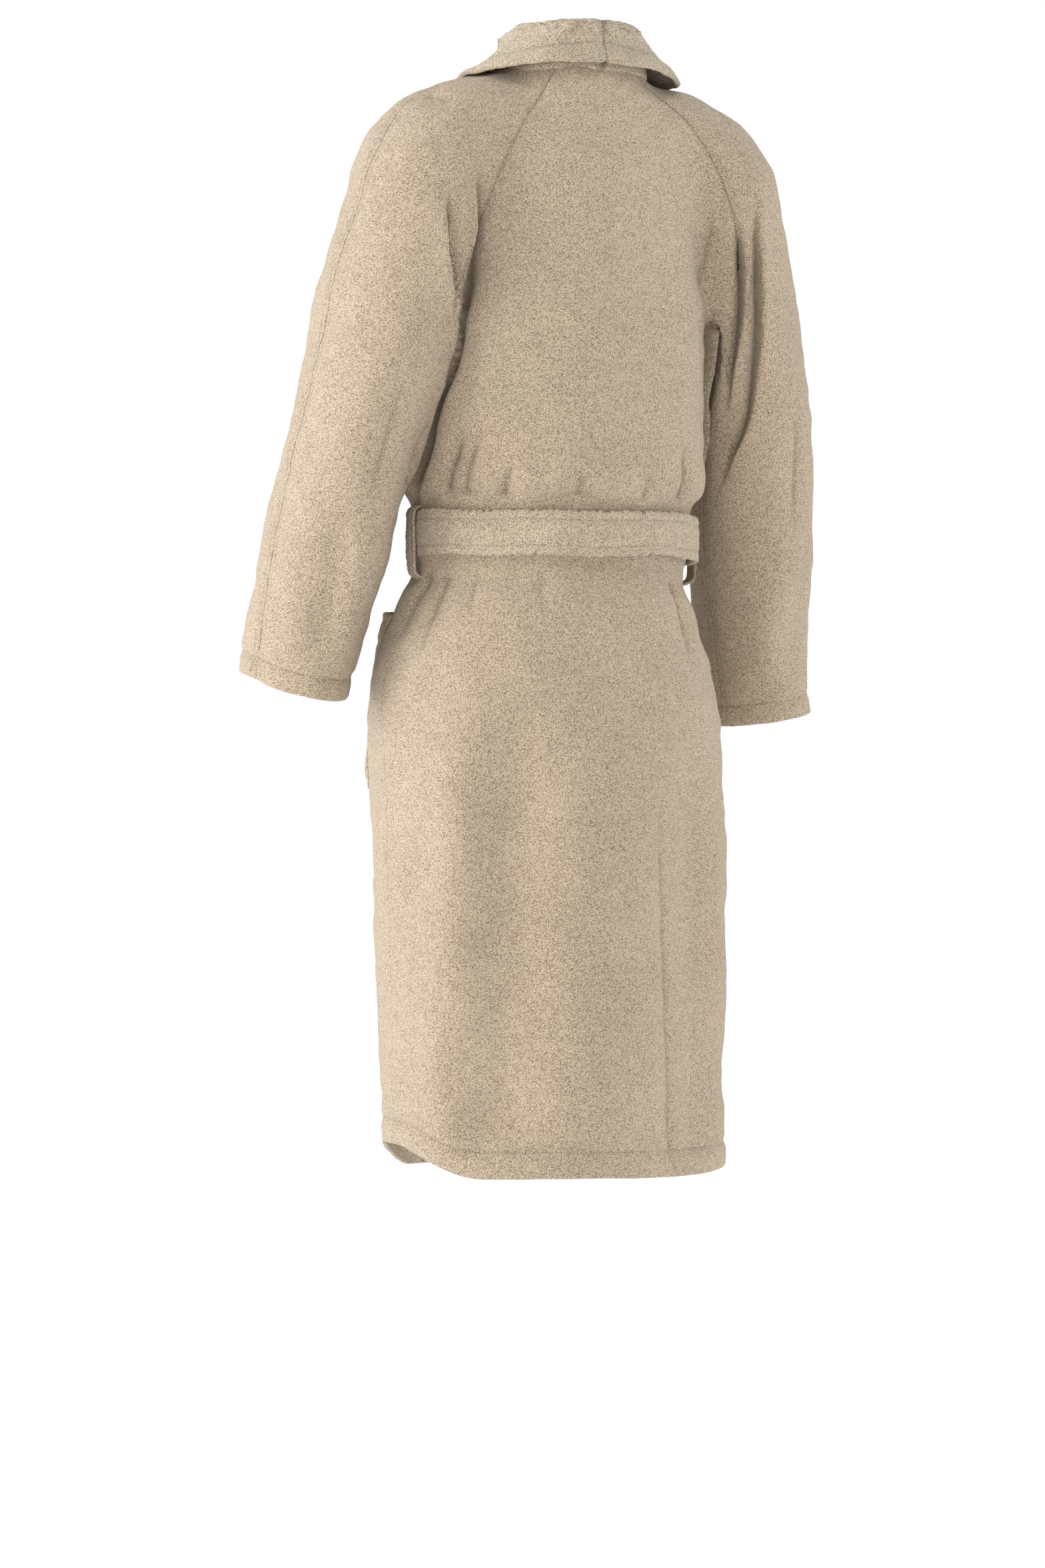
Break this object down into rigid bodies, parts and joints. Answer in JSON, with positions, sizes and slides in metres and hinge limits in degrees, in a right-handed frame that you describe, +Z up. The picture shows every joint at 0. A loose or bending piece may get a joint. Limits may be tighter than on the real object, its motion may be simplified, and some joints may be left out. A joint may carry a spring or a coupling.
{
  "type": "bathrobe",
  "caption": "Long-sleeved towelling bathrobe in its worn shape, with a shawl collar, wrapped fronts, patch pockets and a tied belt in side loops.",
  "frame": {"origin": "nape, the middle of the back neck seam", "axes": "+Z up along the hanging robe, +Y out of the back, fronts towards -Y, the wearer's left is +X"},
  "size_m": [0.678, 0.326, 1.245],
  "materials": {
    "body_terry": "looped towelling",
    "collar_terry": "looped towelling",
    "belt_terry": "looped towelling",
    "loop_tape": "woven tape",
    "label_tape": "satin weave"
  },
  "bodies": {
    "robe": {"back_panel": "body_terry", "front_panel_left": "body_terry", "front_panel_right": "body_terry", "sleeve_left_head_front": "body_terry", "sleeve_left_head_back": "body_terry", "collar_fall_left": "collar_terry", "collar_stand_left": "collar_terry", "pocket_left": "body_terry", "belt_loop_left": "belt_terry", "sleeve_right_head_front": "body_terry", "sleeve_right_head_back": "body_terry", "collar_fall_right": "collar_terry", "collar_stand_right": "collar_terry", "pocket_right": "body_terry", "belt_loop_right": "belt_terry", "neck_label": "label_tape", "care_label": "label_tape"},
    "sleeve_left": {"sleeve_left_arm_front": "body_terry", "sleeve_left_arm_back": "body_terry"},
    "sleeve_right": {"sleeve_right_arm_front": "body_terry", "sleeve_right_arm_back": "body_terry"},
    "belt": {"belt_band": "belt_terry", "belt_knot": "belt_terry"},
    "belt_end_left_hang": {"belt_end_left": "belt_terry"},
    "belt_end_right_hang": {"belt_end_right": "belt_terry"},
    "hanger": {"hanging_loop": "loop_tape"}
  },
  "joints": [
    {"name": "sleeve_left_swing", "type": "hinge", "parent": "robe", "child": "sleeve_left", "pos_m": [0.2, -0.138, -0.11], "axis": [-1, 0, 0], "range_deg": [-15, 30]},
    {"name": "sleeve_right_swing", "type": "hinge", "parent": "robe", "child": "sleeve_right", "pos_m": [-0.2, -0.138, -0.11], "axis": [-1, 0, 0], "range_deg": [-15, 30]},
    {"name": "belt_slide", "type": "slide", "parent": "robe", "child": "belt", "axis": [0, 0, 1], "range_m": [-0.014, 0]},
    {"name": "belt_end_left_swing", "type": "hinge", "parent": "belt", "child": "belt_end_left_hang", "pos_m": [0.025, -0.27035, -0.5234], "axis": [-1, 0, 0], "range_deg": [0, 60]},
    {"name": "belt_end_right_swing", "type": "hinge", "parent": "belt", "child": "belt_end_right_hang", "pos_m": [-0.025, -0.27035, -0.5234], "axis": [-1, 0, 0], "range_deg": [0, 60]},
    {"name": "hanging_loop_flip", "type": "hinge", "parent": "robe", "child": "hanger", "pos_m": [0, -0.00955, -0.005], "axis": [-1, 0, 0], "range_deg": [0, 140]}
  ]
}
